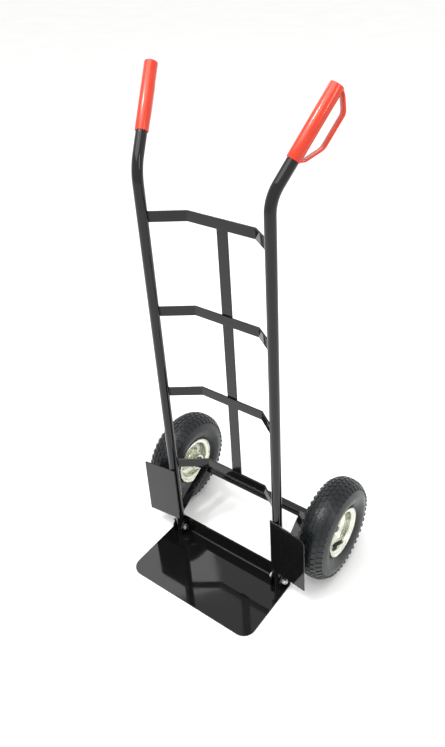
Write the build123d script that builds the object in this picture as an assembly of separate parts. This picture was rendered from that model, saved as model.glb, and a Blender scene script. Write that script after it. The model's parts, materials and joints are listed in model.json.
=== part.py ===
from build123d import *
import os
from math import cos, radians, sin, tan

os.makedirs("parts", exist_ok=True)

# Hand truck. X runs across the truck, +Y points back to the wheels and the
# user, +Z is up. Lengths are in millimetres and angles in degrees.

# tyre and rim
wheel_r = 127.0
wheel_x = 229.4
axle_y = 127.5
tyre_half_w = 38.8
tyre_wall = 6.4
tread_groove_u = 9.0
tread_groove_w = 3.2
tread_groove_depth = 5.0
lug_count = 30
lug_gap = 4.0
lug_slot_len = 24.0
lug_slot_depth = 4.8
lug_slot_u = 26.5
lug_skew = 18.0
seat_r = 50.8
flange_r = 62.5
flange_u = 25.2
sheet_t = 2.0
rim_bolt_circle_r = 33.5
rim_bolt_r = 3.0
rim_bolt_count = 4
rim_nut_flat = 10.0
rim_nut_t = 4.5
rim_head_t = 4.0
inner_tube_gap = 0.7
inner_tube_wall = 2.3

# hub, bearings and axle; the hub reaches further in than out
hub_in = 40.0
hub_out = 5.0
hub_r = 20.5
bearing_r = 17.5
bearing_w = 11.0
bearing_step = 3.0
ball_r = 2.9
ball_count = 8
ball_gap = 0.15
race_reach = 0.72
axle_r = 8.0
running_gap = 0.05
sleeve_r = 11.0
axle_washer_r = 10.6
axle_washer_t = 2.0
pin_r = 1.6
pin_len = 22.0
pin_gap = 0.6
axle_end_cover = 3.2
axle_chamfer = 1.0

# valve, from its foot in the rim well to its tip: (u, y, z) about the wheel's centre
valve_foot = (8.0, -13.0, -51.5)
valve_tip = (29.0, -3.0, -29.0)
valve_r = 4.8
valve_foot_r = 3.2
valve_foot_len = 10.0
valve_thread_r = 2.6
valve_cap_r = 4.4
valve_cap_len = 9.0
valve_thread_len = 7.0

# tubular frame
tube_r = 11.5
tube_wall = 1.6
upright_x = 155.0
knee_z = 997.0
bend_r = 80.0
handle_len = 213.5
handle_lean = 37.2
handle_splay = 14.1
rung_z = [236.5, 460.0, 677.0, 897.0]
rung_h = 23.5
rung_t = 4.0
rung_back_y = 52.0
rung_end_y = 5.0
rung_flat_half = 84.0
strap_half_w = 13.1
strap_t = 4.0
strap_corner_r = 3.0
strap_top_inset = 2.0
strap_low_inset = 1.0

# axle carrier and the angle-section braces below it
carrier_half = 9.5
carrier_corner_r = 2.0
carrier_half_len = 186.0
brace_web = 20.0
brace_leg = 18.0
brace_t = 3.0
brace_foot_x = 158.8
brace_top_x = 153.3
brace_foot_z = 70.6
brace_rise = 70.9

# toe plate and wheel guards
plate_half_w = 180.6
plate_front_y = -168.0
plate_t = 3.0
plate_corner_r = 30.0
back_wall_h = 47.5
back_wall_corner_r = 8.0
root_r = 4.0
ear_h = 43.0
ear_front_y = -15.0
ear_corner_r = 9.0
bolt_z = 22.5
bolt_r = 4.0
bolt_clearance = 0.2
bolt_flat = 13.0
bolt_head_t = 5.3
bolt_nut_t = 6.5
bolt_end = 3.0
washer_r = 8.5
washer_t = 1.5
guard_t = 2.5
guard_x0 = 144.0
guard_x1 = 238.5
guard_top_z = 227.0
guard_top_fall = 9.0
guard_low_z = 57.0
guard_low_fall = 4.0
guard_turn = 3.0
guard_corner_r = {"left": 5.0, "right": 18.0}

# hand grips
grip_r = 13.6
grip_len = 143.0
grip_start = 76.0
grip_round = 0.8
grip_end_wall = 4.0
grip_fit = 0.02
loop_drop = 37.0
loop_knee = 18.0
loop_ends = 4.0
loop_foot = 5.0
loop_low = 44.0
loop_high = 112.0
loop_w = 15.0
loop_t = 4.0
loop_tilt = 12.0

# the uprights' centre line is y = 0 while drawing; this puts the origin under
# the middle of the overall box
y_mid = (plate_front_y + axle_y + wheel_r) / 2.0
cut_over = 1.0

SIDES = {"left": -1, "right": 1}


def save(shape, name):
    """Write one node; a list is a group of separate solids."""
    if isinstance(shape, list):
        shape = Compound(children=[Pos(0, -y_mid, 0) * piece for piece in shape])
    else:
        shape = Pos(0, -y_mid, 0) * shape
    export_step(shape, "parts/" + name + ".step")


def rod(r, x0, x1):
    """Round bar about the X axis from x0 to x1."""
    at_start = (Align.CENTER, Align.CENTER, Align.MIN)
    return Rot(0, 90, 0) * Pos(0, 0, x0) * Cylinder(r, x1 - x0, align=at_start)


def ring(r_out, r_in, x0, x1):
    """Round sleeve about the X axis from x0 to x1."""
    return rod(r_out, x0, x1) - rod(r_in, x0 - cut_over, x1 + cut_over)


def turned(points):
    """Solid of revolution about X from (u, r) points."""
    face = make_face(Polyline(*[(u, r, 0) for u, r in points], close=True))
    return revolve(face, axis=Axis.X)


def bent_sheet(points, thick):
    """Closed outline of a thin sheet whose middle line runs through points."""
    left = []
    right = []
    for i, here in enumerate(points):
        before = points[max(i - 1, 0)]
        after = points[min(i + 1, len(points) - 1)]
        came = Vector(*here) - Vector(*before)
        goes = Vector(*after) - Vector(*here)
        came = came.normalized() if i > 0 else goes.normalized()
        goes = goes.normalized() if i < len(points) - 1 else came
        bisector = (came + goes).normalized()
        normal = Vector(-bisector.Y, bisector.X)
        reach = thick / 2.0 / normal.dot(Vector(-came.Y, came.X))
        left.append((here[0] + normal.X * reach, here[1] + normal.Y * reach))
        right.append((here[0] - normal.X * reach, here[1] - normal.Y * reach))
    return left + right[::-1]


def hexagon(flat, thick):
    """Hexagonal prism along X, starting at x = 0."""
    return extrude(Plane.YZ * RegularPolygon(flat / 2.0, 6, major_radius=False), thick)


def bar_between(a, b, side_dir, width, thick):
    """Rectangular bar from a to b; width runs along side_dir."""
    plane = Plane(origin=a, x_dir=side_dir, z_dir=(b - a).normalized())
    return extrude(plane * Rectangle(width, thick), (b - a).length)


# ---------------------------------------------------------------- uprights

def handle_dir(side):
    """Direction of a handle: leaning back and splayed outwards."""
    lean = radians(handle_lean)
    splay = radians(handle_splay)
    return Vector(side * sin(splay), cos(splay) * sin(lean), cos(splay) * cos(lean))


def upright_path(side):
    """Centre line of an upright: straight leg, bend at the knee, straight handle."""
    foot = Vector(side * upright_x, 0, plate_t)
    knee = Vector(side * upright_x, 0, knee_z)
    up = Vector(0, 0, 1)
    out = handle_dir(side)
    turn = radians(up.get_angle(out))
    run = bend_r * tan(turn / 2.0)
    start = knee - up * run
    end = knee + out * run
    inward = (out - up * out.dot(up)).normalized()
    centre = start + inward * bend_r
    middle = centre + (knee - centre).normalized() * bend_r
    tip = knee + out * handle_len
    return Wire([Edge.make_line(foot, start),
                 Edge.make_three_point_arc(start, middle, end),
                 Edge.make_line(end, tip)])


def tube_along(side, radius):
    path = upright_path(side)
    return sweep(Plane(origin=path @ 0, z_dir=path % 0) * Circle(radius), path=path)


# the toe bolts' holes run across both uprights and the plate's ears
bolt_hole_span = upright_x + tube_r + plate_t + cut_over
bolt_holes = Pos(0, 0, bolt_z) * rod(bolt_r + bolt_clearance, -bolt_hole_span, bolt_hole_span)

for name, side in SIDES.items():
    upright = tube_along(side, tube_r) - tube_along(side, tube_r - tube_wall)
    save(upright - bolt_holes, name + "_upright")

# the tubes' outside, used to cope everything that is welded to them
leg_h = knee_z + tube_r
tube_envelope = Compound(children=[
    Pos(side * upright_x, 0, leg_h / 2.0) * Cylinder(tube_r, leg_h) for side in SIDES.values()])

# ------------------------------------------------------------ dished rungs

def rung(z):
    """Flat bar cranked back from the uprights to a straight middle."""
    back = rung_back_y + rung_t / 2.0
    line = [(-upright_x, rung_end_y), (-rung_flat_half, back),
            (rung_flat_half, back), (upright_x, rung_end_y)]
    face = make_face(Polyline(*bent_sheet(line, rung_t), close=True))
    bar = Pos(0, 0, z - rung_h / 2.0) * extrude(face, rung_h)
    return bar - tube_envelope


for name, z in zip(["rung_bottom", "rung_lower_middle", "rung_upper_middle", "rung_top"], rung_z):
    save(rung(z), name)

strap_top = rung_z[-1] + rung_h / 2.0 - strap_top_inset
strap_low = rung_z[0] - rung_h / 2.0 + strap_low_inset
strap_y = rung_back_y + rung_t + strap_t / 2.0
strap = Box(strap_half_w * 2, strap_t, strap_top - strap_low)
strap = fillet(strap.edges().filter_by(Axis.Y), strap_corner_r)
save(Pos(0, strap_y, (strap_top + strap_low) / 2.0) * strap, "centre_strap")

# --------------------------------------------------- axle carrier, braces

carrier_outside = Box(carrier_half_len * 2, carrier_half * 2, carrier_half * 2)
bore_half = axle_r + running_gap
carrier = fillet(carrier_outside.edges().filter_by(Axis.X), carrier_corner_r)
carrier -= Box((carrier_half_len + cut_over) * 2, bore_half * 2, bore_half * 2)
at_axle = Pos(0, axle_y, wheel_r)
save(at_axle * carrier, "axle_carrier")

brace_top_y = axle_y - carrier_half
for name, side in SIDES.items():
    # angle section from behind the upright's foot up to the carrier's front:
    # its web faces up and its leg hangs on the outer side
    foot = Vector(side * brace_foot_x, tube_r, brace_foot_z)
    top = Vector(side * brace_top_x, brace_top_y, brace_foot_z + brace_rise)
    along = (top - foot).normalized()
    foot = foot - along * tube_r
    top = top + along * carrier_half
    across = Vector(side, 0, 0)
    across = (across - along * across.dot(along)).normalized()
    down = along.cross(across) * side
    web_mid = down * (brace_t / 2.0)
    leg_mid = across * (brace_web - brace_t) / 2.0 + down * (brace_leg / 2.0)
    web = bar_between(foot + web_mid, top + web_mid, across, brace_web, brace_t)
    leg = bar_between(foot + leg_mid, top + leg_mid, across, brace_t, brace_leg)
    brace = web + leg
    past_top = Pos(0, brace_top_y, 0) * Box(
        upright_x * 3, wheel_r, wheel_r * 4, align=(Align.CENTER, Align.MIN, Align.CENTER))
    save(brace - tube_envelope - past_top, name + "_lower_brace")

# ------------------------------------------------------------ wheel guards

for name, side in SIDES.items():
    outline = Polyline((guard_x0, guard_low_z + guard_low_fall),
                       (guard_x1 + guard_low_fall / 2.0, guard_low_z - guard_low_fall),
                       (guard_x1, guard_top_z - guard_top_fall), (guard_x0, guard_top_z), close=True)
    sheet = make_face(outline)
    outer_top = sheet.vertices().sort_by(Axis.X)[2:].sort_by(Axis.Y)[-1]
    sheet = fillet(outer_top, guard_corner_r[name])
    guard = Pos(0, -tube_r, 0) * extrude(Plane.XZ * sheet, guard_t)
    guard = Pos(upright_x, 0, 0) * Rot(0, 0, -guard_turn) * Pos(-upright_x, 0, 0) * guard
    if side < 0:
        guard = mirror(guard, about=Plane.YZ)
    save(guard, name + "_wheel_guard")

# --------------------------------------------------------------- toe plate

wall_front = tube_r
wall_back = wall_front + plate_t
blade_face = make_face(Polyline((-plate_half_w, plate_front_y), (plate_half_w, plate_front_y),
                                (plate_half_w, wall_back), (-plate_half_w, wall_back), close=True))
blade_face = fillet(blade_face.vertices().sort_by(Axis.Y)[:2], plate_corner_r)
toe_plate = extrude(blade_face, plate_t)
wall_face = make_face(Polyline((-plate_half_w, 0), (plate_half_w, 0),
                               (plate_half_w, back_wall_h), (-plate_half_w, back_wall_h), close=True))
wall_face = fillet(wall_face.vertices().sort_by(Axis.Y)[2:], back_wall_corner_r)
toe_plate += Pos(0, wall_back, 0) * extrude(Plane.XZ * wall_face, plate_t)
# the press-bent inside corner
root = Pos(0, wall_front, plate_t) * Box(
    plate_half_w * 2, root_r, root_r, align=(Align.CENTER, Align.MAX, Align.MIN))
root -= Pos(0, wall_front - root_r, plate_t + root_r) * rod(
    root_r, -plate_half_w - cut_over, plate_half_w + cut_over)
toe_plate += root
# an ear stands on each side of each tube's foot
ear_root = plate_t - 0.5
ear_back = wall_front + 0.5
ear_crest = ear_front_y + 13.0
ear_outline = make_face(Polyline((ear_front_y, ear_root), (ear_back, ear_root), (ear_back, ear_h),
                                 (ear_crest, ear_h), (ear_front_y, bolt_z + 4.0), close=True))
ear_outline = fillet(ear_outline.vertices().sort_by(Axis.X)[0:3].sort_by(Axis.Y)[1:], ear_corner_r)
ear = extrude(Plane.YZ * ear_outline, plate_t)
for side in SIDES.values():
    toe_plate += Pos(side * upright_x + tube_r, 0, 0) * ear
    toe_plate += Pos(side * upright_x - tube_r - plate_t, 0, 0) * ear
# clear the tubes that stand between the ears
toe_plate -= Pos(0, 0, plate_t) * Compound(children=[
    Pos(side * upright_x, 0, leg_h / 2.0) * Cylinder(tube_r, leg_h) for side in SIDES.values()])
save(toe_plate - bolt_holes, "toe_plate")

ear_span = tube_r + plate_t
bolts = []
nuts = []
washers = []
for side in SIDES.values():
    centre = Pos(side * upright_x, 0, bolt_z)
    turned_out = centre if side > 0 else centre * Rot(0, 0, 180)
    seat = ear_span + washer_t
    shank = rod(bolt_r, -seat, seat + bolt_nut_t + bolt_end)
    head = Pos(-seat - bolt_head_t, 0, 0) * hexagon(bolt_flat, bolt_head_t)
    head &= Pos(-seat - bolt_head_t / 2.0, 0, 0) * Sphere(bolt_flat * 0.61)
    bolts.append(turned_out * (shank + head))
    nut = Pos(seat, 0, 0) * hexagon(bolt_flat, bolt_nut_t)
    nuts.append(turned_out * (nut - rod(bolt_r + grip_fit, 0, seat * 2)))
    washers.append(turned_out * ring(washer_r, bolt_r + bolt_clearance, -seat, -ear_span))
    washers.append(turned_out * ring(washer_r, bolt_r + bolt_clearance, ear_span, seat))
save(bolts, "toe_bolts")
save(nuts, "toe_nuts")
save(washers, "toe_washers")

# ------------------------------------------------------------------- grips

loop_root = grip_r - 3.0
loop_line = [(loop_ends, loop_root), (loop_ends + loop_foot, loop_knee), (loop_low, loop_drop),
             (loop_high, loop_drop), (grip_len - loop_ends - loop_foot, loop_knee),
             (grip_len - loop_ends, loop_root)]
for name, side in SIDES.items():
    along = handle_dir(side)
    start = Vector(side * upright_x, 0, knee_z) + along * grip_start
    body = extrude(Plane(origin=start, z_dir=along) * Circle(grip_r), grip_len)
    body = fillet(body.edges().filter_by(GeomType.CIRCLE), grip_round)
    # the knuckle loop hangs below and behind the grip, turned outwards about it
    down = (Vector(0, 0, -1) + along * along.Z).normalized()
    sideways = along.cross(down).normalized()
    tilt = radians(loop_tilt) * side
    drop = down * cos(tilt) - sideways * sin(tilt)
    flat = Plane(origin=start, x_dir=along, z_dir=along.cross(drop))
    strip = make_face(Polyline(*bent_sheet(loop_line, loop_t), close=True))
    body += extrude(flat * strip, loop_w / 2.0, both=True)
    bore = Plane(origin=start - along * cut_over, z_dir=along) * Circle(tube_r + grip_fit)
    body -= extrude(bore, grip_len - grip_end_wall + cut_over)
    save(body, name + "_grip")

# -------------------------------------------------------------------- axle

pin_x = wheel_x + hub_out + axle_washer_t + pin_gap + pin_r
axle_end_x = pin_x + pin_r + axle_end_cover
axle = rod(axle_r, -axle_end_x, axle_end_x)
axle = chamfer(axle.edges().filter_by(GeomType.CIRCLE), axle_chamfer)
for side in SIDES.values():
    axle -= Pos(side * pin_x, 0, 0) * Cylinder(pin_r + running_gap * 2, axle_r * 3)
save(at_axle * axle, "axle")

spacers = []
inner_washers = []
outer_washers = []
pins = []
for side in SIDES.values():
    face_in = wheel_x - hub_in
    face_out = wheel_x + hub_out
    washer_in = face_in - axle_washer_t
    washer_out = face_out + axle_washer_t
    axle_hole = axle_r + running_gap
    flip = at_axle if side > 0 else at_axle * Rot(0, 0, 180)
    spacers.append(flip * ring(sleeve_r, axle_hole, carrier_half_len, washer_in))
    inner_washers.append(flip * ring(axle_washer_r, axle_hole, washer_in, face_in))
    outer_washers.append(flip * ring(axle_washer_r, axle_hole, face_out, washer_out))
    # split pin: round shank, eye above and prongs bent apart below
    shank = Cylinder(pin_r, pin_len)
    eye_r = pin_r + 1.0
    eye = Pos(0, 0, pin_len / 2.0 + eye_r - 0.4) * Rot(0, 90, 0) * Torus(eye_r, 1.1)
    prong = Pos(0, 0, 0.2 - pin_len / 2.0) * Rot(25, 0, 0) * Cylinder(
        pin_r / 2.0, 8, align=(Align.CENTER, Align.CENTER, Align.MAX))
    pins.append(flip * Pos(pin_x, 0, 0) * (shank + eye + prong))
save(spacers, "axle_spacers")
save(inner_washers, "axle_inner_washers")
save(outer_washers, "axle_outer_washers")
save(pins, "split_pins")

# ------------------------------------------------------------------ wheels
# each wheel piece is drawn about the X axis with u = 0 in the wheel's middle
# plane and +u outwards, then placed on either side

def place(shape, side):
    if side < 0:
        shape = mirror(shape, about=Plane.YZ)
    return Pos(side * wheel_x, axle_y, wheel_r) * shape


tyre_skin = [(0, wheel_r), (9, wheel_r - 0.3), (18, wheel_r - 1.8), (25, wheel_r - 4.8),
             (31, wheel_r - 10.5), (35.4, wheel_r - 18), (37.9, wheel_r - 26),
             (tyre_half_w, wheel_r - 34), (38.2, wheel_r - 42), (36, 77), (32.2, 70), (28.5, 65.2),
             (flange_u, 61.5), (flange_u, seat_r + 1)]
tyre_cavity = [(flange_u - 1, seat_r), (15, seat_r), (14.6, 57), (19.5, 63), (25.5, 69.5), (30, 77.5),
               (tyre_half_w - tyre_wall, 86), (tyre_half_w - tyre_wall, 94), (31, 102), (27.5, 109),
               (22, 114), (12, 117.3), (0, 118)]
tyre = turned(tyre_skin + tyre_cavity)
tyre += mirror(tyre, about=Plane.YZ)
# two drainage grooves round the crown
for u in (-tread_groove_u, tread_groove_u):
    groove_r = wheel_r - tread_groove_depth
    tyre -= ring(wheel_r + cut_over, groove_r, u - tread_groove_w / 2.0, u + tread_groove_w / 2.0)
# tread lugs cut across the shoulders, half a pitch apart on the two sides
pitch = 360.0 / lug_count
lug_slot = Box(lug_slot_len, lug_gap, lug_slot_depth * 2)
for i in range(lug_count):
    for end in (-1, 1):
        step = pitch * (i + (end + 1) / 4.0)
        tyre -= Rot(step, 0, 0) * Pos(end * lug_slot_u, 0, wheel_r) * Rot(0, 0, end * lug_skew) * lug_slot

# inner tube: a soft ring that fills the tyre's cavity down to the rim
tube_skin = [(-13.6, 51.2), (-13.9, 57.2), (-18.9, 63.5), (-24.9, 70.0), (-29.4, 77.9), (-31.8, 86.2),
             (-31.8, 93.9), (-30.5, 101.6), (-27.1, 108.4), (-21.7, 113.4), (-11.8, 116.8),
             (0, 118 - inner_tube_gap)]
tube_skin += [(-u, r) for u, r in tube_skin[-2::-1]]
tube_mid_r = (seat_r + wheel_r) / 2.0
tube_share = 1.0 - inner_tube_wall / (tyre_half_w - tyre_wall)
tube_core = [(u * tube_share, tube_mid_r + (r - tube_mid_r) * tube_share) for u, r in tube_skin]
tube_ring = turned(tube_skin) - turned(tube_core)

# pressed rim halves: the outer collar is as short as the hub is there, the
# inner one flares up the hub as a cone
well_line = [(1.0, 40.5), (4.5, 46.0), (9.0, seat_r - 1.0), (flange_u + 1.0, seat_r - 1.0),
             (flange_u + 1.0, flange_r - 3.5), (flange_u + 3.4, flange_r)]
outer_collar = [(hub_out - 1.0, hub_r - 0.5), (1.0, hub_r + 5.0)]
inner_collar = [(17.5, hub_r - 0.5), (4.5, hub_r + 4.9), (1.0, hub_r + 7.5)]


def rim_half(collar):
    pressing = turned(bent_sheet(collar + well_line, sheet_t)) - rod(hub_r, -flange_u, hub_in)
    for spot in bolt_spots:
        pressing -= spot * rod(rim_bolt_r + bolt_clearance, -sheet_t * 2, sheet_t * 2)
    return pressing


bolt_spots = [Rot((i + 0.5) * 360.0 / rim_bolt_count, 0, 0) * Pos(0, 0, rim_bolt_circle_r)
              for i in range(rim_bolt_count)]
rim_outer = rim_half(outer_collar)
rim_inner = mirror(rim_half(inner_collar), about=Plane.YZ)

bearing_at = [(-hub_in, -hub_in + bearing_w), (hub_out - bearing_w, hub_out)]
hub = ring(hub_r, bearing_r - bearing_step, -hub_in, hub_out)
hub -= rod(bearing_r, -hub_in - cut_over, -hub_in + bearing_w)
hub -= rod(bearing_r, hub_out - bearing_w, hub_out + cut_over)

# valve: a straight stem leaning out of the well, its cap screwed on the end
foot = Vector(*valve_foot)
stem_dir = (Vector(*valve_tip) - foot).normalized()
stem_len = (Vector(*valve_tip) - foot).length - valve_cap_len
stem_plane = Plane(origin=foot, z_dir=stem_dir)
cap_plane = Plane(origin=foot + stem_dir * stem_len, z_dir=stem_dir)
neck_plane = Plane(origin=foot + stem_dir * valve_foot_len, z_dir=stem_dir)
stem_foot = extrude(stem_plane * Circle(valve_foot_r), valve_foot_len)
stem = stem_foot + extrude(neck_plane * Circle(valve_r), stem_len - valve_foot_len)
thread = extrude(cap_plane * Circle(valve_thread_r), valve_thread_len)
cap = extrude(cap_plane * Circle(valve_cap_r), valve_cap_len) - thread
valve_hole = extrude(stem_plane * Circle(valve_foot_r + running_gap * 2), stem_len)

pitch_r = (bearing_r + axle_r) / 2.0
outer_race_in = pitch_r + ball_r * race_reach
inner_race_out = pitch_r - ball_r * race_reach
sleeve = ring(sleeve_r, axle_r + running_gap, bearing_at[0][1], bearing_at[1][0])

for name, side in SIDES.items():
    save(place(tyre, side), name + "_tyre")
    save(place(tube_ring - stem_foot, side), name + "_inner_tube")
    save(place(rim_outer - valve_hole, side), name + "_rim_outer_half")
    save(place(rim_inner, side), name + "_rim_inner_half")
    save(place(hub, side), name + "_hub")
    save(place(stem + thread, side), name + "_valve_stem")
    save(place(cap, side), name + "_valve_cap")
    save(place(sleeve, side), name + "_bearing_sleeve")
    bolts = []
    nuts = []
    for spot in bolt_spots:
        bolt = rod(rim_bolt_r, -sheet_t - rim_nut_t - 1.5, sheet_t + rim_head_t)
        bolt += Pos(sheet_t, 0, 0) * hexagon(rim_nut_flat, rim_head_t)
        nut = Pos(-sheet_t - rim_nut_t, 0, 0) * hexagon(rim_nut_flat, rim_nut_t)
        nut -= rod(rim_bolt_r + grip_fit, -sheet_t * 5, 0)
        bolts.append(place(spot * bolt, side))
        nuts.append(place(spot * nut, side))
    save(bolts, name + "_rim_bolts")
    save(nuts, name + "_rim_nuts")
    outer_races = []
    inner_races = []
    balls = []
    for u0, u1 in bearing_at:
        mid = Pos((u0 + u1) / 2.0, 0, 0)
        groove = mid * Rot(0, 90, 0) * Torus(pitch_r, ball_r + ball_gap)
        outer_races.append(place(ring(bearing_r, outer_race_in, u0, u1) - groove, side))
        inner_races.append(place(ring(inner_race_out, axle_r + running_gap, u0, u1) - groove, side))
        for i in range(ball_count):
            ball = mid * Rot(i * 360.0 / ball_count, 0, 0) * Pos(0, 0, pitch_r) * Sphere(ball_r)
            balls.append(place(ball, side))
    save(outer_races, name + "_bearing_outer_races")
    save(inner_races, name + "_bearing_inner_races")
    save(balls, name + "_bearing_balls")
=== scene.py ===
import json
import math

import bmesh
import bpy
from mathutils import Matrix, Vector

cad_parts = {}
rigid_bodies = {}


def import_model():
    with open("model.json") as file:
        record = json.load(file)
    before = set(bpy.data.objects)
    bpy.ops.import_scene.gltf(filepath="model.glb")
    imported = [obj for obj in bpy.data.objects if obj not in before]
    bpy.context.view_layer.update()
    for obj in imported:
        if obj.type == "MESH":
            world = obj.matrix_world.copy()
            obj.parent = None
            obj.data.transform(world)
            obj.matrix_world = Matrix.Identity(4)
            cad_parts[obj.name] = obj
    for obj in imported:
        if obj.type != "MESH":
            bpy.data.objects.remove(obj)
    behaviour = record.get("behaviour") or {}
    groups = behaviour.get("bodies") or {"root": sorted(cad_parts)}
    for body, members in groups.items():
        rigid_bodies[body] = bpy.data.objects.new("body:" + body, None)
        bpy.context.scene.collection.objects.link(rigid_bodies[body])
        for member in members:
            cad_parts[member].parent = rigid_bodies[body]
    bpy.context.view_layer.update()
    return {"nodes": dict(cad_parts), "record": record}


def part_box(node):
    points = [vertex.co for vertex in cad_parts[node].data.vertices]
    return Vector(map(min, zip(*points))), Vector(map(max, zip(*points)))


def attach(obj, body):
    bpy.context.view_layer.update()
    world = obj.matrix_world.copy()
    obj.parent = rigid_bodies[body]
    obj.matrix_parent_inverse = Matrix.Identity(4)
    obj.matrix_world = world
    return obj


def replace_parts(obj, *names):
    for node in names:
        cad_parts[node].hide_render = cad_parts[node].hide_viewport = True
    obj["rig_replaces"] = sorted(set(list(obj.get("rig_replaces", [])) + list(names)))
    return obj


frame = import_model()

MM = 0.001
SIDES = {"left": -1, "right": 1}

# ---------------------------------------------------------------- the frame

tyre_low, tyre_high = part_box("right_tyre")
WHEEL_R = (tyre_high.z - tyre_low.z) / 2
TYRE_HALF_W = (tyre_high.x - tyre_low.x) / 2
WHEEL_X = (tyre_high.x + tyre_low.x) / 2
AXLE_Y = (tyre_high.y + tyre_low.y) / 2
AXLE_Z = (tyre_high.z + tyre_low.z) / 2
TUBE_R = 11.5 * MM
UPRIGHT_X = 155 * MM
UPRIGHT_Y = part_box("left_upright")[0].y + TUBE_R
KNEE_Z = 997 * MM
HANDLE_LEAN = math.radians(37.2)
HANDLE_SPLAY = math.radians(14.1)
GRIP_START = 76 * MM
GRIP_LEN = 143 * MM
GRIP_R = 13.6 * MM
LOOP_TILT = math.radians(12)
RUNG_BOXES = [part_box(name) for name in (
    "rung_bottom", "rung_lower_middle", "rung_upper_middle", "rung_top")]
RUNG_T = 4 * MM
RUNG_END_Y = 5 * MM
RUNG_BACK_Y = 52 * MM
RUNG_FLAT_HALF = 84 * MM
STRAP_HALF_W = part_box("centre_strap")[1].x
BRACE_FOOT_Z = 70.6 * MM


# ------------------------------------------------------------ node materials

def srgb(code):
    """Linear colour with alpha from an sRGB hex value."""
    parts = [int(code[i:i + 2], 16) / 255 for i in (1, 3, 5)]
    return [c / 12.92 if c <= 0.04045 else ((c + 0.055) / 1.055) ** 2.4 for c in parts] + [1.0]


def add(tree, kind, links=None, **settings):
    """Adds one node, sets its properties and socket values, and links its inputs."""
    node = tree.nodes.new(kind)
    for name, value in settings.pop("values", {}).items():
        node.inputs[name].default_value = value
    for name, value in settings.items():
        setattr(node, name, value)
    for name, source in (links or {}).items():
        tree.links.new(source, node.inputs[name])
    return node


def material(name):
    """An empty node material with its surface shader and object coordinates."""
    mat = bpy.data.materials.new(name)
    mat.use_nodes = True
    tree = mat.node_tree
    tree.nodes.clear()
    shader = add(tree, "ShaderNodeBsdfPrincipled")
    add(tree, "ShaderNodeOutputMaterial", {"Surface": shader.outputs["BSDF"]})
    coords = add(tree, "ShaderNodeTexCoord").outputs["Object"]
    return mat, tree, shader, coords


def per_metre(size_mm):
    """Noise scale whose features are about size_mm across."""
    return 1000 / size_mm


def shade(tree, coords, shader, light, dark, size_mm, contrast=0.5, detail=3.0):
    """Mottles the base colour between two close tones."""
    noise = add(tree, "ShaderNodeTexNoise", {"Vector": coords},
                values={"Scale": per_metre(size_mm), "Detail": detail})
    ramp = add(tree, "ShaderNodeValToRGB", {"Fac": noise.outputs["Fac"]})
    ramp.color_ramp.elements[0].position = 0.5 - contrast / 2
    ramp.color_ramp.elements[0].color = srgb(dark)
    ramp.color_ramp.elements[1].position = 0.5 + contrast / 2
    ramp.color_ramp.elements[1].color = srgb(light)
    tree.links.new(ramp.outputs["Color"], shader.inputs["Base Color"])


def vary_roughness(tree, coords, shader, size_mm, low, high):
    """Lets the roughness drift between two values."""
    noise = add(tree, "ShaderNodeTexNoise", {"Vector": coords},
                values={"Scale": per_metre(size_mm), "Detail": 4.0})
    spread = add(tree, "ShaderNodeMapRange", {"Value": noise.outputs["Fac"]},
                 values={"From Min": 0.3, "From Max": 0.7, "To Min": low, "To Max": high})
    tree.links.new(spread.outputs["Result"], shader.inputs["Roughness"])


def relief(tree, coords, shader, size_mm, depth_mm, strength=1.0, detail=2.0):
    """Bump of a given grain and depth."""
    noise = add(tree, "ShaderNodeTexNoise", {"Vector": coords},
                values={"Scale": per_metre(size_mm), "Detail": detail})
    bump = add(tree, "ShaderNodeBump", {"Height": noise.outputs["Fac"]},
               values={"Strength": strength, "Distance": depth_mm * MM})
    tree.links.new(bump.outputs["Normal"], shader.inputs["Normal"])


def black_powder_coat():
    # gloss black powder coat, baked on: deep and wet-looking, with the faint orange peel of the melt
    mat, tree, shader, coords = material("gloss_black_powder_coat")
    shade(tree, coords, shader, "#0f0f10", "#0a0a0b", 60)
    vary_roughness(tree, coords, shader, 25, 0.04, 0.08)
    relief(tree, coords, shader, 3.5, 0.012, 0.4)
    shader.inputs["IOR"].default_value = 1.42
    return mat


def bright_zinc():
    # bright zinc plating on small turned and pressed steel: pale, slightly warm, softly cloudy
    mat, tree, shader, coords = material("bright_zinc_plated_steel")
    shade(tree, coords, shader, "#dcdcd6", "#bcbdb8", 4)
    vary_roughness(tree, coords, shader, 3, 0.18, 0.34)
    relief(tree, coords, shader, 0.8, 0.01, 0.5)
    shader.inputs["Metallic"].default_value = 1.0
    return mat


def zinc_rim():
    # zinc-plated pressed rim steel: creamy silver, with the broad soft bloom of a drawn sheet
    mat, tree, shader, coords = material("zinc_plated_pressed_rim_steel")
    shade(tree, coords, shader, "#eef0e4", "#cfd2c2", 18)
    vary_roughness(tree, coords, shader, 9, 0.16, 0.3)
    relief(tree, coords, shader, 1.4, 0.02, 0.4)
    shader.inputs["Metallic"].default_value = 0.95
    return mat


def bearing_steel():
    # ground chrome steel: cool and bright, faintly clouded by a trace of grease
    mat, tree, shader, coords = material("ground_bearing_steel")
    shade(tree, coords, shader, "#c3c6c9", "#9fa2a6", 2)
    vary_roughness(tree, coords, shader, 2, 0.15, 0.3)
    shader.inputs["Metallic"].default_value = 1.0
    return mat


def tyre_rubber():
    # carbon-black tyre rubber from the mould: blue-black with a waxy wet sheen, and the fine grain
    # of the mould drawn coarser than it is, so that it shows
    mat, tree, shader, coords = material("moulded_tyre_rubber")
    shade(tree, coords, shader, "#13181b", "#0d1113", 22)
    vary_roughness(tree, coords, shader, 14, 0.26, 0.42)
    relief(tree, coords, shader, 0.9, 0.05, 0.5, 4.0)
    shader.inputs["IOR"].default_value = 1.42
    return mat


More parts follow.
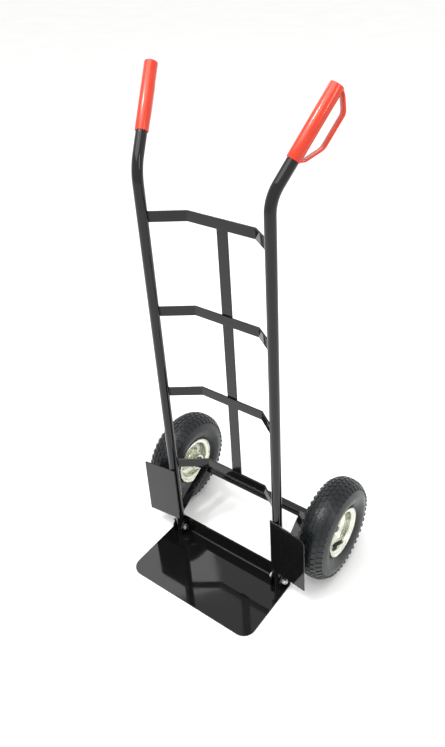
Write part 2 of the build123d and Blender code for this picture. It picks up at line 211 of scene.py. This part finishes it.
def butyl_rubber():
    # butyl inner tube: plain soft black with a dusting of talc
    mat, tree, shader, coords = material("butyl_tube_rubber")
    shade(tree, coords, shader, "#3a3a3b", "#242425", 8)
    vary_roughness(tree, coords, shader, 5, 0.6, 0.8)
    return mat


def grip_plastic():
    # injection-moulded orange-red PVC: saturated, glossy, lightly translucent at its thin edges
    mat, tree, shader, coords = material("gloss_moulded_orange_pvc")
    shade(tree, coords, shader, "#c8340f", "#bc2c0c", 30)
    vary_roughness(tree, coords, shader, 12, 0.16, 0.24)
    relief(tree, coords, shader, 2.5, 0.015, 0.5)
    shader.inputs["IOR"].default_value = 1.52
    shader.inputs["Subsurface Weight"].default_value = 0.1
    shader.inputs["Subsurface Radius"].default_value = (1.0, 0.25, 0.12)
    shader.inputs["Subsurface Scale"].default_value = 0.003
    return mat


def valve_rubber():
    # black EPDM valve stem: satin and faintly mottled
    mat, tree, shader, coords = material("satin_valve_rubber")
    shade(tree, coords, shader, "#242425", "#1a1a1b", 3)
    vary_roughness(tree, coords, shader, 2, 0.4, 0.55)
    return mat


def cap_plastic():
    # moulded black nylon cap: a little glossier than the stem it screws on to
    mat, tree, shader, coords = material("moulded_black_nylon")
    shade(tree, coords, shader, "#202021", "#18181a", 3)
    vary_roughness(tree, coords, shader, 2, 0.28, 0.4)
    return mat


def studio_paper():
    # seamless studio paper: matt, almost white
    mat, tree, shader, coords = material("pale_studio_paper")
    shade(tree, coords, shader, "#fbfbfa", "#f7f7f6", 400)
    vary_roughness(tree, coords, shader, 80, 0.85, 0.95)
    shader.inputs["Specular IOR Level"].default_value = 0.1
    return mat


POWDER_COAT = black_powder_coat()
ZINC = bright_zinc()
RIM_STEEL = zinc_rim()
BEARING_STEEL = bearing_steel()
TYRE_RUBBER = tyre_rubber()
TUBE_RUBBER = butyl_rubber()
GRIP_PVC = grip_plastic()
VALVE_RUBBER = valve_rubber()
CAP_NYLON = cap_plastic()

FINISHES = {
    "black_powder_coat": POWDER_COAT,
    "zinc_plated_steel": ZINC,
    "zinc_plated_rim": RIM_STEEL,
    "bearing_steel": BEARING_STEEL,
    "orange_grip_plastic": GRIP_PVC,
    "tyre_rubber": TYRE_RUBBER,
    "tube_rubber": TUBE_RUBBER,
    "valve_rubber": VALVE_RUBBER,
    "valve_cap_plastic": CAP_NYLON,
}
SLOT_OF = {entry["node"]: entry["material_slot"] for entry in frame["record"]["subparts"]}
BODY_OF = {node: body for body, nodes in frame["record"]["behaviour"]["bodies"].items() for node in nodes}


# ------------------------------------------------------------------- meshes

def finish_mesh(mesh, crease=35):
    """Shades a mesh smooth and keeps the edges sharper than the crease angle, in degrees."""
    for face in mesh.polygons:
        face.use_smooth = True
    mesh.set_sharp_from_angle(angle=math.radians(crease))


def new_piece(name, bm, finish, body, replaced=(), crease=35):
    """Makes one visual piece from a bmesh: its finish, the body it rides on, the nodes it stands for."""
    mesh = bpy.data.meshes.new(name)
    bm.normal_update()
    bm.to_mesh(mesh)
    bm.free()
    finish_mesh(mesh, crease)
    piece = bpy.data.objects.new(name, mesh)
    bpy.context.scene.collection.objects.link(piece)
    mesh.materials.append(FINISHES[finish])
    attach(piece, body)
    if replaced:
        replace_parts(piece, *replaced)
    return piece


def soften(piece, width_mm, segments=2, limit=28):
    """Rounds a piece's edges so that they catch the light as pressed and cut steel does."""
    bevel = piece.modifiers.new("edge_round", "BEVEL")
    bevel.width = width_mm * MM
    bevel.segments = segments
    bevel.limit_method = "ANGLE"
    bevel.angle_limit = math.radians(limit)
    bevel.use_clamp_overlap = True
    bevel.harden_normals = False
    normals = piece.modifiers.new("even_normals", "WEIGHTED_NORMAL")
    normals.keep_sharp = True


def refined(node, edge_mm, segments=2):
    """A cleaned copy of a CAD node's mesh with rounded edges, shown in its place."""
    bm = bmesh.new()
    bm.from_mesh(frame["nodes"][node].data)
    bmesh.ops.remove_doubles(bm, verts=bm.verts, dist=0.004 * MM)
    bmesh.ops.dissolve_limit(bm, angle_limit=math.radians(0.6), verts=bm.verts, edges=bm.edges)
    piece = new_piece(node + "_shown", bm, SLOT_OF[node], BODY_OF[node], [node])
    soften(piece, edge_mm, segments)
    return piece


def lathe(bm, outline, centre, side, steps):
    """Turns a closed (u, r) outline about the wheel's axle line; u points away from the truck."""
    rings = []
    for i in range(steps):
        angle = 2 * math.pi * i / steps
        rings.append([bm.verts.new((centre.x + side * u, centre.y + r * math.cos(angle),
                                    centre.z + r * math.sin(angle))) for u, r in outline])
    count = len(outline)
    for i in range(steps):
        here = rings[i]
        after = rings[(i + 1) % steps]
        for j in range(count):
            k = (j + 1) % count
            bm.faces.new((here[j], here[k], after[k], after[j]))


def smooth_line(points, steps):
    """Catmull-Rom curve through the points, with steps pieces to each span."""
    line = []
    for i in range(len(points) - 1):
        before = Vector(points[max(i - 1, 0)])
        a = Vector(points[i])
        b = Vector(points[i + 1])
        after = Vector(points[min(i + 2, len(points) - 1)])
        for k in range(steps):
            t = k / steps
            line.append(0.5 * (2 * a + (b - before) * t + (2 * before - 5 * a + 4 * b - after) * t * t
                               + (3 * a - 3 * b + after - before) * t ** 3))
    line.append(Vector(points[-1]))
    return line


def sweep(bm, path, section, across):
    """Sweeps a closed (w, t) section along a path; w lies along the across direction."""
    rings = []
    for i, point in enumerate(path):
        before = path[max(i - 1, 0)]
        after = path[min(i + 1, len(path) - 1)]
        along = (after - before).normalized()
        out = along.cross(across).normalized()
        side = out.cross(along).normalized()
        stretch = 1.0
        if 0 < i < len(path) - 1:
            bend = (point - before).normalized().dot(along)
            stretch = 1 / max(bend, 0.6)
        rings.append([bm.verts.new(point + side * w + out * t * stretch) for w, t in section])
    count = len(section)
    for here, after in zip(rings, rings[1:]):
        for j in range(count):
            k = (j + 1) % count
            bm.faces.new((here[j], here[k], after[k], after[j]))
    bm.faces.new(rings[0][::-1])
    bm.faces.new(rings[-1])


# ----------------------------------------------------------- carried-over CAD

# how far each piece's edges are rounded
EDGE_MM = {
    "left_upright": 0.4, "right_upright": 0.4,
    "rung_top": 0.7, "rung_upper_middle": 0.7, "rung_lower_middle": 0.7, "rung_bottom": 0.7,
    "centre_strap": 0.7, "axle_carrier": 0.5,
    "left_lower_brace": 0.5, "right_lower_brace": 0.5,
    "left_wheel_guard": 0.6, "right_wheel_guard": 0.6,
    "toe_plate": 0.6, "toe_bolts": 0.4, "toe_nuts": 0.4, "toe_washers": 0.2,
    "axle": 0.3, "axle_spacers": 0.3, "axle_inner_washers": 0.25, "axle_outer_washers": 0.25,
}
for node, edge in EDGE_MM.items():
    refined(node, edge)
for side_name in SIDES:
    refined(side_name + "_hub", 0.4)
    refined(side_name + "_rim_bolts", 0.3)
    refined(side_name + "_rim_nuts", 0.3)
    refined(side_name + "_valve_stem", 0.4)
    refined(side_name + "_valve_cap", 0.5)
replaced_nodes = {n for o in bpy.data.objects for n in o.get("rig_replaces", [])}
for node, part in frame["nodes"].items():
    if node not in replaced_nodes:
        part.data.materials.clear()
        part.data.materials.append(FINISHES[SLOT_OF[node]])
        finish_mesh(part.data)


# -------------------------------------------------------------------- tyres

TREAD_DEPTH = 2.1 * MM
TREAD_PITCHES = 46
CROWN_HALF_W = 34 * MM
CROWN_DROP = 13.5 * MM
CROWN_POWER = 2.6
# each lug's foot goes this far into the carcass
LUG_ROOT = 1 * MM
# two moulded rings stand on each wall, at these radii
WALL_RINGS_MM = (88.0, 76.0)
WALL_RING_HALF_W_MM = 1.6
WALL_RING_H = 0.5 * MM
# no point of the wall comes nearer to the tyre's full width than this
SIDE_GAP = 0.05 * MM


def crown(across):
    """Point (u, r) and outward normal on the tread surface, across = -1..1 from shoulder to shoulder."""
    drop = CROWN_DROP * abs(across) ** CROWN_POWER
    slope = CROWN_DROP * CROWN_POWER * abs(across) ** (CROWN_POWER - 1) / CROWN_HALF_W
    normal = Vector((math.copysign(slope, across), 1)).normalized()
    return Vector((across * CROWN_HALF_W, WHEEL_R - drop)), normal


def tread_block(bm, centre, side, corners, top_inset):
    """One lug: corners are (across, turn) pairs, turn in pitches; its top sits on the crown."""
    pitch = 2 * math.pi / TREAD_PITCHES
    middle = Vector((sum(c[0] for c in corners) / len(corners), sum(c[1] for c in corners) / len(corners)))
    top = []
    foot = []
    for a, turn in corners:
        for ring, height, inset in ((top, 0.0, top_inset), (foot, -TREAD_DEPTH - LUG_ROOT, 0.0)):
            here = Vector((a, turn)).lerp(middle, inset)
            point, normal = crown(here.x)
            point = point + normal * height
            angle = here.y * pitch
            ring.append(bm.verts.new((centre.x + side * point.x, centre.y + point.y * math.cos(angle),
                                      centre.z + point.y * math.sin(angle))))
    count = len(corners)
    bm.faces.new(top)
    for j in range(count):
        k = (j + 1) % count
        bm.faces.new((top[j], foot[j], foot[k], top[k]))


def tyre_outline():
    """Closed (u, r) outline of the carcass: tread base, walls with two moulded rings, beads, lining."""
    base = []
    for across in (0, 0.35, 0.65, 0.87, 1.02):
        point = (crown(across)[0] - crown(across)[1] * TREAD_DEPTH) / MM
        base.append((point.x, point.y))
    wall = [(36.6, 101), (38.0, 95.5), (38.6, 92), (38.3, 86), (36.6, 79), (33.4, 72), (29.8, 67),
            (27.0, 64), (25.6, 61.5)]
    half = smooth_line([(u * MM, r * MM, 0) for u, r in base + wall], 3)
    raised = []
    for p in half:
        u, r = p.x, p.y
        for ring_r in WALL_RINGS_MM:
            near = 1 - abs(r / MM - ring_r) / WALL_RING_HALF_W_MM
            if near > 0:
                u += WALL_RING_H * near
        raised.append((min(u, TYRE_HALF_W - SIDE_GAP), r))
    inner = [(25.2, 52), (24, 50.9), (15, 50.9), (15, 57), (25, 69), (31.5, 82), (32, 94), (28.5, 107),
             (18, 114.5), (0, 117.9)]
    right = raised + [(u * MM, r * MM) for u, r in inner]
    left = [(-u, r) for u, r in right[::-1] if u > 1e-9]
    return right + left


def make_tyre(name, side):
    centre = Vector((side * WHEEL_X, AXLE_Y, AXLE_Z))
    bm = bmesh.new()
    lathe(bm, tyre_outline(), centre, side, 144)
    for i in range(TREAD_PITCHES):
        for end in (-1, 1):
            # ribs of slanted blocks either side of the middle
            start = i + (0.0 if end < 0 else 0.5)
            tread_block(bm, centre, side, [(end * 0.03, start + 0.06), (end * 0.27, start + 0.26),
                                           (end * 0.27, start + 0.98), (end * 0.03, start + 0.78)], 0.08)
            # second row, nearly half a pitch on
            start = i + (0.45 if end < 0 else 0.95)
            tread_block(bm, centre, side, [(end * 0.36, start + 0.10), (end * 0.62, start + 0.0),
                                           (end * 0.62, start + 0.72), (end * 0.36, start + 0.82)], 0.08)
            # shoulder lugs, running on down the wall
            start = i + (0.1 if end < 0 else 0.6)
            tread_block(bm, centre, side, [(end * 0.71, start + 0.0), (end * 1.08, start + 0.08),
                                           (end * 1.08, start + 0.60), (end * 0.71, start + 0.72)], 0.06)
    bmesh.ops.recalc_face_normals(bm, faces=bm.faces)
    piece = new_piece(name + "_block_tread_tyre", bm, "tyre_rubber", name + "_wheel", [name + "_tyre"], 30)
    soften(piece, 0.5, 2, 40)


for side_name, side_sign in SIDES.items():
    make_tyre(side_name, side_sign)


# --------------------------------------------------------------------- rims

RIM_WELL = [(1.0, 38.6), (2.6, 43.4), (6.2, 47.6), (10.5, 49.7), (18, 49.8), (23.6, 50.2), (26.0, 52.6),
            (26.3, 57.4), (27.2, 60.6), (29.4, 62.2)]
# the outer half stops short on the hub; the inner half flares up it as a cone
RIM_COLLARS = {
    "outer": [(4.2, 21.5), (2.6, 22.6), (1.4, 25.0), (1.0, 29.6)],
    "inner": [(19.5, 21.6), (16.5, 22.0), (9, 24.2), (3.2, 26.8), (1.1, 29.6)],
}


def rim_outline(which, sheet=2.0):
    """Closed outline of one pressed half: hub collar, bolting face, well, bead seat, rolled edge."""
    line = smooth_line([(u, r, 0) for u, r in RIM_COLLARS[which] + RIM_WELL], 4)
    outer = []
    inner = []
    for i, p in enumerate(line):
        along = (line[min(i + 1, len(line) - 1)] - line[max(i - 1, 0)]).normalized()
        normal = Vector((-along.y, along.x, 0))
        outer.append(p + normal * sheet / 2)
        inner.append(p - normal * sheet / 2)
    tip = [line[-1] + (line[-1] - line[-2]).normalized() * sheet / 2 * 0.9]
    root = [line[0] + (line[0] - line[1]).normalized() * sheet / 2 * 0.9]
    return [(p.x * MM, p.y * MM) for p in outer + tip + inner[::-1] + root]


def make_rim_half(name, side, end):
    centre = Vector((side * WHEEL_X, AXLE_Y, AXLE_Z))
    bm = bmesh.new()
    which = "outer" if end > 0 else "inner"
    lathe(bm, rim_outline(which), centre, side * end, 128)
    bmesh.ops.recalc_face_normals(bm, faces=bm.faces)
    new_piece(f"{name}_{which}_rim_pressing", bm, "zinc_plated_rim", name + "_wheel",
              [f"{name}_rim_{which}_half"], 50)


for side_name, side_sign in SIDES.items():
    make_rim_half(side_name, side_sign, 1)
    make_rim_half(side_name, side_sign, -1)


# -------------------------------------------------------------------- grips

def handle_dir(side):
    return Vector((side * math.sin(HANDLE_SPLAY), math.cos(HANDLE_SPLAY) * math.sin(HANDLE_LEAN),
                   math.cos(HANDLE_SPLAY) * math.cos(HANDLE_LEAN)))


def rounded_line(points, radius, steps=6):
    """A polyline whose corners are rounded with quadratic arcs."""
    line = [points[0]]
    for a, b, c in zip(points, points[1:], points[2:]):
        run = min(radius, (b - a).length * 0.48, (c - b).length * 0.48)
        p = b + (a - b).normalized() * run
        q = b + (c - b).normalized() * run
        for k in range(steps + 1):
            t = k / steps
            line.append(p.lerp(b, t).lerp(b.lerp(q, t), t))
    line.append(points[-1])
    return line


def make_grip(name, side):
    along = handle_dir(side)
    start = Vector((side * UPRIGHT_X, UPRIGHT_Y, KNEE_Z)) + along * GRIP_START
    down = (Vector((0, 0, -1)) + along * along.z).normalized()
    sideways = along.cross(down).normalized()
    tilt = LOOP_TILT * side
    drop = down * math.cos(tilt) - sideways * math.sin(tilt)
    normal = along.cross(drop).normalized()
    bm = bmesh.new()
    # sleeve: plain and straight, its mouth rounded and its closed end slightly domed
    r = GRIP_R
    edge = 1.2 * MM
    outline = [(0, TUBE_R + 0.1 * MM), (0, r - edge * 0.6), (edge * 0.3, r - edge * 0.15), (edge, r),
               (GRIP_LEN - edge * 1.5, r), (GRIP_LEN - edge * 0.6, r - edge * 0.3),
               (GRIP_LEN - edge * 0.2, r - edge * 0.9), (GRIP_LEN, r - edge * 2), (GRIP_LEN, r * 0.3)]
    steps = 64
    rings = []
    for s, radius in outline:
        rings.append([bm.verts.new(start + along * s + (drop * math.cos(2 * math.pi * i / steps)
                      + normal * math.sin(2 * math.pi * i / steps)) * radius) for i in range(steps)])
    for here, after in zip(rings, rings[1:]):
        for i in range(steps):
            k = (i + 1) % steps
            bm.faces.new((here[i], here[k], after[k], after[i]))
    bm.faces.new(rings[-1])
    # knuckle loop: a flat strap that leaves the sleeve's mouth and comes back near its closed end
    corners = [(4.0, 10.6), (9.0, 18.0), (44.0, 37.0), (112.0, 37.0), (134.0, 18.0), (139.0, 10.6)]
    path = rounded_line([start + along * (s * MM) + drop * (h * MM) for s, h in corners], 7 * MM)
    w = 7.5 * MM
    t = 2 * MM
    b = 0.9 * MM
    c = b * 0.3
    strap = [(-w, -t + b), (-w + c, -t + c), (-w + b, -t), (w - b, -t), (w - c, -t + c),
             (w, -t + b), (w, t - b), (w - c, t - c), (w - b, t), (-w + b, t), (-w + c, t - c), (-w, t - b)]
    sweep(bm, path, strap, normal)
    bmesh.ops.recalc_face_normals(bm, faces=bm.faces)
    new_piece(name + "_moulded_grip", bm, "orange_grip_plastic", "frame", [name + "_grip"], 40)


for side_name, side_sign in SIDES.items():
    make_grip(side_name, side_sign)


# --------------------------------------------------------------- weld beads

WELD_R = 1.9 * MM


def weld_bead(bm, a, b, radius=WELD_R, ripple_mm=1.7):
    """A rippled bead laid along the line from a to b, with rounded ends."""
    along = (b - a).normalized()
    length = (b - a).length
    across = along.orthogonal().normalized()
    other = along.cross(across)
    count = max(8, int(length / (ripple_mm * MM) * 4))
    sides = 12
    rings = []
    for i in range(count + 1):
        t = i / count
        end = min(t, 1 - t) * length / radius
        swell = math.sqrt(max(0.0, 1 - (1 - min(end, 1.0)) ** 2)) * 0.9 + 0.1
        ripple = 1 + 0.09 * math.cos(2 * math.pi * t * length / (ripple_mm * MM))
        centre = a + along * (t * length)
        rings.append([bm.verts.new(centre + (across * math.cos(2 * math.pi * k / sides)
                      + other * math.sin(2 * math.pi * k / sides)) * radius * swell * ripple)
                      for k in range(sides)])
    for here, after in zip(rings, rings[1:]):
        for k in range(sides):
            n = (k + 1) % sides
            bm.faces.new((here[k], here[n], after[n], after[k]))
    bm.faces.new(rings[0][::-1])
    bm.faces.new(rings[-1])


def rung_corner(face):
    """Where a rung's back (face 1) or front (face -1) meets the tube, from the tube's centre."""
    end = Vector((0, RUNG_END_Y))
    along = (Vector((RUNG_FLAT_HALF - UPRIGHT_X, RUNG_BACK_Y + RUNG_T / 2)) - end).normalized()
    start = end + Vector((along.y, -along.x)) * face * RUNG_T / 2
    half = start.dot(along)
    return start + along * (math.sqrt(half * half - start.length_squared + TUBE_R ** 2) - half)


def make_rung_welds():
    bm = bmesh.new()
    inset = 1.5 * MM
    strap_inset = 4 * MM
    for low, high in RUNG_BOXES:
        for side in SIDES.values():
            for face in (-1, 1):
                corner = rung_corner(face)
                x = side * (UPRIGHT_X + corner.x)
                y = UPRIGHT_Y + corner.y
                weld_bead(bm, Vector((x, y, low.z + inset)), Vector((x, y, high.z - inset)))
            # the strap is stitched to each rung down both its edges
            x = side * STRAP_HALF_W
            weld_bead(bm, Vector((x, high.y, low.z + strap_inset)), Vector((x, high.y, high.z - strap_inset)))
    bmesh.ops.recalc_face_normals(bm, faces=bm.faces)
    new_piece("rung_weld_beads", bm, "black_powder_coat", "frame", crease=60)


def make_carrier_welds():
    bm = bmesh.new()
    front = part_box("axle_carrier")[0].y
    for name in SIDES:
        low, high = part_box(name + "_lower_brace")
        # across the brace's top where it lands on the carrier, and across its foot behind the tube
        for y, z in ((front, high.z - 3 * MM), (UPRIGHT_Y + TUBE_R, BRACE_FOOT_Z)):
            weld_bead(bm, Vector((low.x + 4 * MM, y, z)), Vector((high.x - 4 * MM, y, z)))
    bmesh.ops.recalc_face_normals(bm, faces=bm.faces)
    new_piece("brace_weld_beads", bm, "black_powder_coat", "frame", crease=60)


make_rung_welds()
make_carrier_welds()


# ------------------------------------------------------- studio, light, camera

def make_floor():
    bm = bmesh.new()
    bmesh.ops.create_grid(bm, x_segments=2, y_segments=2, size=14)
    mesh = bpy.data.meshes.new("studio_floor")
    bm.to_mesh(mesh)
    bm.free()
    floor = bpy.data.objects.new("studio_floor", mesh)
    bpy.context.scene.collection.objects.link(floor)
    mesh.materials.append(studio_paper())


def softbox(name, place, aim, size, power):
    light = bpy.data.lights.new(name, "AREA")
    light.shape = "RECTANGLE"
    light.size, light.size_y = size
    light.energy = power
    lamp = bpy.data.objects.new(name, light)
    bpy.context.scene.collection.objects.link(lamp)
    lamp.location = place
    lamp.rotation_euler = (Vector(aim) - Vector(place)).to_track_quat("-Z", "Y").to_euler()


def make_sky(low, high):
    """White studio light: its strength goes from low, near the floor, to high, overhead."""
    world = bpy.data.worlds.new("white_studio")
    bpy.context.scene.world = world
    world.use_nodes = True
    tree = world.node_tree
    coords = add(tree, "ShaderNodeTexCoord").outputs["Generated"]
    height = add(tree, "ShaderNodeSeparateXYZ", {"Vector": coords}).outputs["Z"]
    strength = add(tree, "ShaderNodeMapRange", {"Value": height},
                   values={"From Min": 0.1, "From Max": 0.9, "To Min": low, "To Max": high})
    sky = tree.nodes["Background"]
    sky.inputs["Color"].default_value = srgb("#ffffff")
    tree.links.new(strength.outputs["Result"], sky.inputs["Strength"])


def make_camera():
    camera = bpy.data.cameras.new("studio_camera")
    eye = bpy.data.objects.new("studio_camera", camera)
    bpy.context.scene.collection.objects.link(eye)
    place = Vector((0.7895, -0.9642, 1.4372))
    aim = Vector((0.0551, 0.0403, 0.6674))
    roll = math.radians(2.15)
    turn = (aim - place).to_track_quat("-Z", "Y").to_matrix().to_4x4()
    eye.matrix_world = Matrix.Translation(place) @ turn @ Matrix.Rotation(-roll, 4, "Z")
    camera.sensor_width = 36
    camera.lens = 33.54
    camera.shift_x = -0.045
    camera.shift_y = -0.0636
    bpy.context.scene.camera = eye


make_floor()
make_sky(1.08, 1.0)
softbox("overhead_softbox", (-0.3, -0.9, 3.4), (0, 0, 0.2), (3.2, 2.6), 75)
softbox("key_lamp", (-0.7, -1.28, 3.28), (0, 0, 0.9), (0.3, 0.3), 26)
softbox("back_left_softbox", (-1.75, 1.15, 2.3), (-0.1, -0.2, 0.2), (0.9, 0.7), 4)
softbox("right_strip_lamp", (2.6, -0.2, 2.2), (0, 0, 0.7), (0.2, 1.6), 14)
make_camera()
bpy.context.scene.view_settings.view_transform = "Standard"
bpy.context.scene.view_settings.look = "None"
